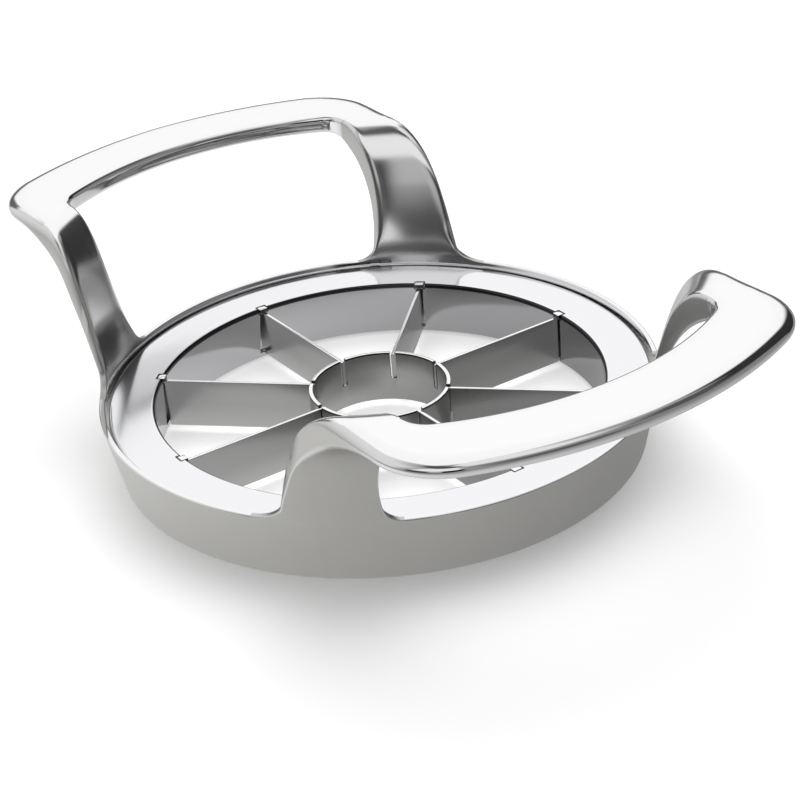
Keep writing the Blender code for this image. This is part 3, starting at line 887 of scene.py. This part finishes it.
def handle_surface(name, sizes, direction):
    """A handle as rings carried from one foot round the bar to the other foot."""
    bend = handle_side(sizes, 0)[2]
    last_radius = bend[-1][0]
    upright, upright_satin = upright_rings(sizes, last_radius)
    bar, bar_satin = bar_rings(sizes, last_radius)
    half = np.concatenate([upright, bar])
    satin = np.concatenate([upright_satin, bar_satin])
    points = np.concatenate([half, half[-2::-1] * (1.0, -1.0, 1.0)])
    satin = np.concatenate([satin, satin[-2::-1]])
    points = points * (direction, direction, 1.0)
    rows, columns = points.shape[:2]
    caps = (np.arange(columns)[::-1], (rows - 1) * columns + np.arange(columns))
    return outward(make_mesh_object(name, points, grid_faces(rows, columns), caps, satin))


def blade_levels(sizes):
    """Heights that the blades, the carrier and the core ring share."""
    lip = sizes.band_height - LIP_DROP
    return {"lip": lip, "blade_top": lip - BLADE_DROP, "lug": lip - LUG_HEIGHT,
            "notch": lip - LUG_HEIGHT - SLOT_GAP,
            "lap": mix(TABLE_CLEARANCE, lip - BLADE_DROP, CORE_LAP_SHARE)}


def blade_angles():
    """Directions of the blades about the axis."""
    return np.arange(BLADE_COUNT) * math.tau / BLADE_COUNT


def carrier_radii(sizes):
    """Outer radii of the flange, the hole and the collar."""
    flange = sizes.rim_radius - RIM_WALL - RIM_GAP
    return flange, flange - FLANGE_WIDTH, flange - FLANGE_WIDTH + COLLAR_WALL


def carrier_outline(sizes):
    """Section of the dished flange, its rounded lip and the straight collar."""
    flange, hole, collar = carrier_radii(sizes)
    lip = hole + LIP_ROUND
    radii = np.linspace(flange - FLANGE_EDGE_ROUND, lip, DISH_POINTS + 2)
    top = dish_top(sizes, radii[0])
    under = dish_top(sizes, collar + COLLAR_FILLET) - FLANGE_THICKNESS
    return np.concatenate([
        [(hole, TABLE_CLEARANCE), (collar, TABLE_CLEARANCE)],
        arc((collar + COLLAR_FILLET, under - COLLAR_FILLET), COLLAR_FILLET,
            math.pi, math.pi / 2, ROUND_POINTS),
        [(flange, top - FLANGE_THICKNESS)],
        arc((flange - FLANGE_EDGE_ROUND, top - FLANGE_EDGE_ROUND), FLANGE_EDGE_ROUND,
            0.0, math.pi / 2, ROUND_POINTS),
        np.stack([radii, dish_top(sizes, radii)], axis=1)[1:-1],
        arc((lip, dish_top(sizes, lip) - LIP_ROUND), LIP_ROUND,
            math.pi / 2, math.pi, ROUND_POINTS)])


def eased_top(left, right, top):
    """Points over a wall's top from right to left, with a quarter circle on each side."""
    ease = BLADE_ROUND
    return np.concatenate([
        arc((right - ease, top - ease), ease, 0.0, math.pi / 2, EASE_POINTS),
        arc((left + ease, top - ease), ease, math.pi / 2, math.pi, EASE_POINTS)])


def core_outline(sizes):
    """Section of the core ring, ground to an edge at its foot and eased at its top."""
    inner = CORE_RADIUS - CORE_WALL
    return np.concatenate([
        [(inner, TABLE_CLEARANCE), (inner + CORE_EDGE_WALL, TABLE_CLEARANCE),
         (CORE_RADIUS, TABLE_CLEARANCE + CORE_BEVEL)],
        eased_top(inner, CORE_RADIUS, blade_levels(sizes)["blade_top"] + CORE_RISE)])


def blade_piece(index, angle, sizes):
    """A blade: a section with a ground foot and an eased top carried outwards, cut, plus its lug.

    Cut away are its lower half at the core ring, its foot in the collar, and its top in the
    collar beyond the lug. Every cut is broader than the blade.
    """
    levels = blade_levels(sizes)
    _, hole, collar = carrier_radii(sizes)
    half, edge = BLADE_THICKNESS / 2, BLADE_EDGE / 2
    outline = np.concatenate([
        [(-edge, TABLE_CLEARANCE), (edge, TABLE_CLEARANCE), (half, TABLE_CLEARANCE + BLADE_BEVEL)],
        eased_top(-half, half, levels["blade_top"]),
        [(-half, TABLE_CLEARANCE + BLADE_BEVEL)]])
    blade = prism(f"slicing_blade_{index}", outline, CORE_RADIUS - CORE_WALL, collar, angle)
    lug_end = collar - NOTCH_REST - SLOT_GAP
    cuts = (
        ((CORE_RADIUS - CORE_WALL - OVERRUN, CORE_RADIUS + CORE_GAP), (0.0, levels["lap"])),
        ((hole - SLOT_GAP, collar + OVERRUN), (0.0, TABLE_CLEARANCE + SLOT_SILL + SLOT_GAP)),
        ((lug_end - LUG_BITE, collar + OVERRUN),
         (levels["notch"] - SLOT_GAP, levels["lip"] + OVERRUN)))
    for radii, heights in cuts:
        cut(blade, radii, heights, LUG_WIDTH, angle)
    lug = block("lug", (hole - LUG_HEIGHT / 2, lug_end), (levels["lug"], levels["lip"]),
                LUG_WIDTH / 2, angle)
    eased = lug.modifiers.new("ease", "BEVEL")
    eased.width = BLADE_ROUND
    eased.segments = EASE_POINTS - 1
    combined(blade, lug, "UNION")
    return blade


class SLICER_OT_frame(bpy.types.Operator):
    """Build the band with its two handles as one casting"""

    bl_idname = "slicer.frame"
    bl_label = "Frame"

    def execute(self, context):
        sizes = context.scene.slicer_sizes
        outline, satin = band_outline(sizes)
        casting = turned("frame_casting", outline, satin=satin)
        for name, direction in (("front_handle", 1.0), ("back_handle", -1.0)):
            combined(casting, handle_surface(name, sizes, direction), "UNION")
        material = frame_steel(context.scene.slicer_finishes)
        finished(casting, material, ("handle_frame",))
        return {"FINISHED"}


class SLICER_OT_carrier(bpy.types.Operator):
    """Build the blade carrier with its slots and notches"""

    bl_idname = "slicer.carrier"
    bl_label = "Blade carrier"

    def execute(self, context):
        sizes = context.scene.slicer_sizes
        levels = blade_levels(sizes)
        _, hole, collar = carrier_radii(sizes)
        carrier = turned("mirror_carrier", carrier_outline(sizes))
        for angle in blade_angles():
            cut(carrier, (hole - OVERRUN, collar + OVERRUN),
                (TABLE_CLEARANCE + SLOT_SILL, levels["notch"] + LUG_BITE),
                BLADE_THICKNESS / 2 + SLOT_SIDE_GAP, angle, SLOT_FLARE)
            cut(carrier, (hole - OVERRUN, collar - NOTCH_REST),
                (levels["notch"], levels["lip"] + OVERRUN), LUG_WIDTH / 2 + SLOT_GAP, angle)
        material = carrier_steel(context.scene.slicer_finishes, sizes)
        finished(carrier, material, ("blade_carrier",))
        return {"FINISHED"}


class SLICER_OT_core(bpy.types.Operator):
    """Build the core ring with its blade slots"""

    bl_idname = "slicer.core"
    bl_label = "Core ring"

    def execute(self, context):
        sizes = context.scene.slicer_sizes
        levels = blade_levels(sizes)
        ring = turned("coring_ring", core_outline(sizes), turns=CORE_TURNS)
        for angle in blade_angles():
            cut(ring, (CORE_RADIUS - CORE_WALL - OVERRUN, CORE_RADIUS + OVERRUN),
                (levels["lap"] - CORE_GAP, levels["lip"]), BLADE_THICKNESS / 2 + CORE_GAP, angle)
        material = blade_steel(context.scene.slicer_finishes, sizes, "core_steel")
        finished(ring, material, ("core_ring",))
        return {"FINISHED"}


class SLICER_OT_blades(bpy.types.Operator):
    """Build the eight blades"""

    bl_idname = "slicer.blades"
    bl_label = "Blades"

    def execute(self, context):
        sizes = context.scene.slicer_sizes
        material = blade_steel(context.scene.slicer_finishes, sizes, "blade_steel")
        for index, angle in enumerate(blade_angles(), start=1):
            blade = blade_piece(index, angle, sizes)
            finished(blade, material, (f"blade_{index}",))
        return {"FINISHED"}


# Camera: its azimuth, elevation and roll are in degrees, and its lens in millimetres
CAMERA_TARGET = (0.00200, 0.00316, 0.00760)
CAMERA_DISTANCE = 0.4349
CAMERA_NEAR = 0.01
CAMERA_ANGLES = (57.77, 28.37, -4.65)
CAMERA_LENS = 99.05


def add_camera():
    """A camera at the photograph's viewing angle."""
    azimuth, elevation, roll = (math.radians(angle) for angle in CAMERA_ANGLES)
    back = np.array([math.sin(azimuth) * math.cos(elevation),
                     -math.cos(azimuth) * math.cos(elevation), math.sin(elevation)])
    level = np.array([math.cos(azimuth), math.sin(azimuth), 0.0])
    up = np.cross(back, level)
    right = math.cos(roll) * level + math.sin(roll) * up
    up = np.cross(back, right)
    data = bpy.data.cameras.new("camera")
    data.lens = CAMERA_LENS
    data.clip_start = CAMERA_NEAR
    camera = bpy.data.objects.new("camera", data)
    bpy.context.scene.collection.objects.link(camera)
    matrix = np.eye(4)
    matrix[:3, 0], matrix[:3, 1], matrix[:3, 2] = right, up, back
    matrix[:3, 3] = np.array(CAMERA_TARGET) + back * CAMERA_DISTANCE
    camera.matrix_world = matrix.T.tolist()
    bpy.context.scene.camera = camera


FLOOR_SIZE = 6.0
FLOOR_GAP = 0.00005
FLOOR_ROUGHNESS = 0.9

# In the steel's reflections the floor is a pale sheet round the object, which ends between these
# radii. It is darkest on one side of the object and brightest on the other, at PAINTED_BRIGHT_AZIMUTH.
# The sheet's shades are painted light, as though it were lit most on its bright side.
SHEET_END = (0.10, 0.20)
PAINTED_SHEET_SHADES = (0.43, 0.89)
PAINTED_BRIGHT_AZIMUTH = -122.0

# Beyond the sheet the reflected floor is dark, but has painted light round one azimuth, between
# these cosines of the angle to it
BEYOND_SHADE = 0.25
PAINTED_LIGHT_SHADE = 0.62
PAINTED_LIGHT_AZIMUTH = -165.0
PAINTED_LIGHT_SPREAD = (0.64, 0.81)

# Share of the reflected floor's shade that glows by itself; the rest is lit as the floor is
SHEET_GLOW_SHARE = 0.72

# Glow of the floor as the camera sees it, inside the ring and outside it, and the radii between
# which it changes
# The stronger glow inside the ring is painted light that lightens the object's shadow there.
INNER_PAINTED_GLOW = 0.45
OUTER_GLOW = 0.10
GLOW_RADII = (0.044, 0.052)


def add_floor(finishes):
    """A square floor just under the base: pale to the camera, and a sheet to the steel."""
    plan = FLOOR_SIZE / 2 * np.array([(-1.0, -1.0), (1.0, -1.0), (1.0, 1.0), (-1.0, 1.0)])
    corners = np.insert(plan, 2, -FLOOR_GAP, axis=1)
    floor = make_mesh_object("floor", corners, np.array([[0, 1, 2, 3]]))
    material, tree = new_material("floor")
    path = tree.node("ShaderNodeLightPath")
    radius = axis_radius(tree)

    def toward(angle):
        """Cosine of the angle between a floor point's direction and an azimuth."""
        turn = math.radians(angle)
        return tree.field("ShaderNodeVectorMath", "Value", {"operation": "DOT_PRODUCT"}, {
            0: tree.place(), 1: (math.cos(turn), math.sin(turn), 0.0)}) / radius

    def matt(colour, emission):
        """A matt shader that also glows."""
        return tree.node("ShaderNodeBsdfPrincipled", {}, {
            "Base Color": colour, "Roughness": FLOOR_ROUGHNESS, "Specular IOR Level": 0.0,
            "Emission Color": emission, "Emission Strength": 1.0}).outputs[0]

    # painted light: the floor as the steel sees it, glowing and shaded from side to side
    beyond = tree.coloured(tree.smooth(toward(PAINTED_LIGHT_AZIMUTH), *PAINTED_LIGHT_SPREAD),
                           shaded(WHITE, BEYOND_SHADE), shaded(WHITE, PAINTED_LIGHT_SHADE))
    near = tree.coloured((toward(PAINTED_BRIGHT_AZIMUTH) + 1.0) / 2.0,
                         *(shaded(WHITE, shade) for shade in PAINTED_SHEET_SHADES))
    sheet = tree.coloured(tree.smooth(radius, *SHEET_END), near, beyond)
    glossy = path.outputs["Is Glossy Ray"]
    black = shaded(WHITE, 0.0)
    # painted light: the floor glows more inside the ring
    glow = tree.coloured(tree.smooth(radius, *GLOW_RADII),
                         shaded(WHITE, INNER_PAINTED_GLOW), shaded(WHITE, OUTER_GLOW))
    lit = tree.coloured(SHEET_GLOW_SHARE, sheet, black)
    glowing = tree.coloured(SHEET_GLOW_SHARE, black, sheet)
    reflected = matt(tree.coloured(glossy, shaded(finishes.floor), lit),
                     tree.coloured(glossy, black, glowing))
    seen = matt(shaded(finishes.floor), glow)
    shader = tree.node("ShaderNodeMixShader", {}, {
        0: path.outputs["Is Camera Ray"], 1: reflected, 2: seen})
    tree.node("ShaderNodeOutputMaterial", {}, {"Surface": shader.outputs[0]})
    floor.data.materials.append(material)


# Soft boxes and dark gaps round the object: azimuth and its half width, elevation and its half
# height, softness, all in degrees, and brightness. Later ones lie over earlier ones, and beside
# them is STUDIO_LEVEL.
STUDIO_PANELS = (
    (-150.0, 50.0, 30.0, 34.0, 20.0, 0.72),
    (37.0, 50.0, 15.0, 40.0, 14.0, 0.22),
    (10.0, 16.0, 16.0, 22.0, 14.0, 0.10),
    (80.0, 26.0, 46.0, 13.0, 12.0, 0.09),
    (62.0, 66.0, 77.0, 13.0, 10.0, 0.80),
    (-52.0, 34.0, 51.0, 19.0, 10.0, 0.85),
    (-90.0, 100.0, 84.0, 10.0, 6.0, 0.08),
    (-62.0, 26.0, 8.0, 22.0, 6.0, 0.06),
    (-51.0, 9.0, 22.0, 11.0, 8.0, 0.47),
    (-29.0, 13.0, 9.0, 24.0, 4.0, 0.01),
    (104.0, 20.0, 25.0, 21.0, 6.0, 0.025),
    (152.0, 27.0, 44.0, 32.0, 8.0, 1.0),
    (152.0, 30.0, 0.0, 12.0, 8.0, 0.10),
    (178.0, 8.0, 14.0, 14.0, 5.0, 0.12),
)
STUDIO_LEVEL = 0.35
HALF_TURN = 180.0

# What lights the floor: an even sky and a broad glow from behind the object, of this azimuth and
# elevation
SKY_LEVEL = 0.60
GLOW_LEVEL = 2.90
GLOW_POWER = 4.0
GLOW_DIRECTION = (148.0, 38.0)


def panel_share(tree, azimuth, elevation, panel):
    """How much of a panel lies in a direction: 1 inside, 0 outside and smooth between."""
    centre, half_width, level, half_height, soft, _ = panel
    turn = azimuth - centre
    across = abs(turn.worked("WRAP", turn, HALF_TURN, -HALF_TURN))
    rise = abs(elevation - level)
    return (tree.smooth(across, half_width + soft / 2, half_width - soft / 2)
            * tree.smooth(rise, half_height + soft / 2, half_height - soft / 2))


def add_world():
    """A world: white to the camera, sky and glow to the floor, and soft boxes to the steel."""
    world = bpy.data.worlds.new("studio")
    bpy.context.scene.world = world
    world.use_nodes = True
    tree = NodeTree(world.node_tree)
    direction = tree.node("ShaderNodeTexCoord").outputs["Generated"]
    apart = tree.node("ShaderNodeSeparateXYZ", {}, {0: direction})
    x, y, z = (Field(tree, socket) for socket in apart.outputs)
    azimuth = y.worked("ARCTAN2", y, x) * math.degrees(1.0)
    elevation = z.worked("ARCSINE", z) * math.degrees(1.0)
    level = STUDIO_LEVEL
    for panel in STUDIO_PANELS:
        level = level + (panel[-1] - level) * panel_share(tree, azimuth, elevation, panel)
    path = tree.node("ShaderNodeLightPath")
    glossy, seen = (Field(tree, path.outputs[name]) for name in ("Is Glossy Ray", "Is Camera Ray"))
    turn, rise = (math.radians(angle) for angle in GLOW_DIRECTION)
    toward = (x * (math.cos(turn) * math.cos(rise)) + y * (math.sin(turn) * math.cos(rise))
              + z * math.sin(rise))
    light = SKY_LEVEL + GLOW_LEVEL * toward.worked("MAXIMUM", toward, 0.0) ** GLOW_POWER
    strength = light + (level - light) * glossy + (1.0 - light) * seen
    sky = tree.node("ShaderNodeBackground", {}, {"Color": shaded(WHITE), "Strength": strength})
    tree.node("ShaderNodeOutputWorld", {}, {"Surface": sky.outputs[0]})


class SLICER_OT_stage(bpy.types.Operator):
    """Build the camera, the floor and the soft light"""

    bl_idname = "slicer.stage"
    bl_label = "Stage"

    def execute(self, context):
        add_camera()
        add_floor(context.scene.slicer_finishes)
        add_world()
        context.scene.view_settings.view_transform = "Standard"
        return {"FINISHED"}


OPERATORS = (SLICER_OT_frame, SLICER_OT_carrier, SLICER_OT_core, SLICER_OT_blades, SLICER_OT_stage)


class SLICER_PT_panel(bpy.types.Panel):
    """Lists the slicer's pieces and its stage"""

    bl_label = "Fruit slicer"
    bl_space_type = "VIEW_3D"
    bl_region_type = "UI"
    bl_category = "Slicer"

    def draw(self, context):
        for operator in OPERATORS:
            self.layout.operator(operator.bl_idname)


CLASSES = (SlicerSizes, SlicerFinishes, *OPERATORS, SLICER_PT_panel)


def register():
    """Make the classes known, and give the scene its sizes and finishes."""
    for item in CLASSES:
        bpy.utils.register_class(item)
    bpy.types.Scene.slicer_sizes = bpy.props.PointerProperty(type=SlicerSizes)
    bpy.types.Scene.slicer_finishes = bpy.props.PointerProperty(type=SlicerFinishes)


def unregister():
    """Undo what register does."""
    del bpy.types.Scene.slicer_finishes
    del bpy.types.Scene.slicer_sizes
    for item in reversed(CLASSES):
        bpy.utils.unregister_class(item)


def main():
    """Build every piece and the stage in order."""
    register()
    bpy.ops.slicer.frame()
    bpy.ops.slicer.carrier()
    bpy.ops.slicer.core()
    bpy.ops.slicer.blades()
    bpy.ops.slicer.stage()


if __name__ == "__main__":
    main()
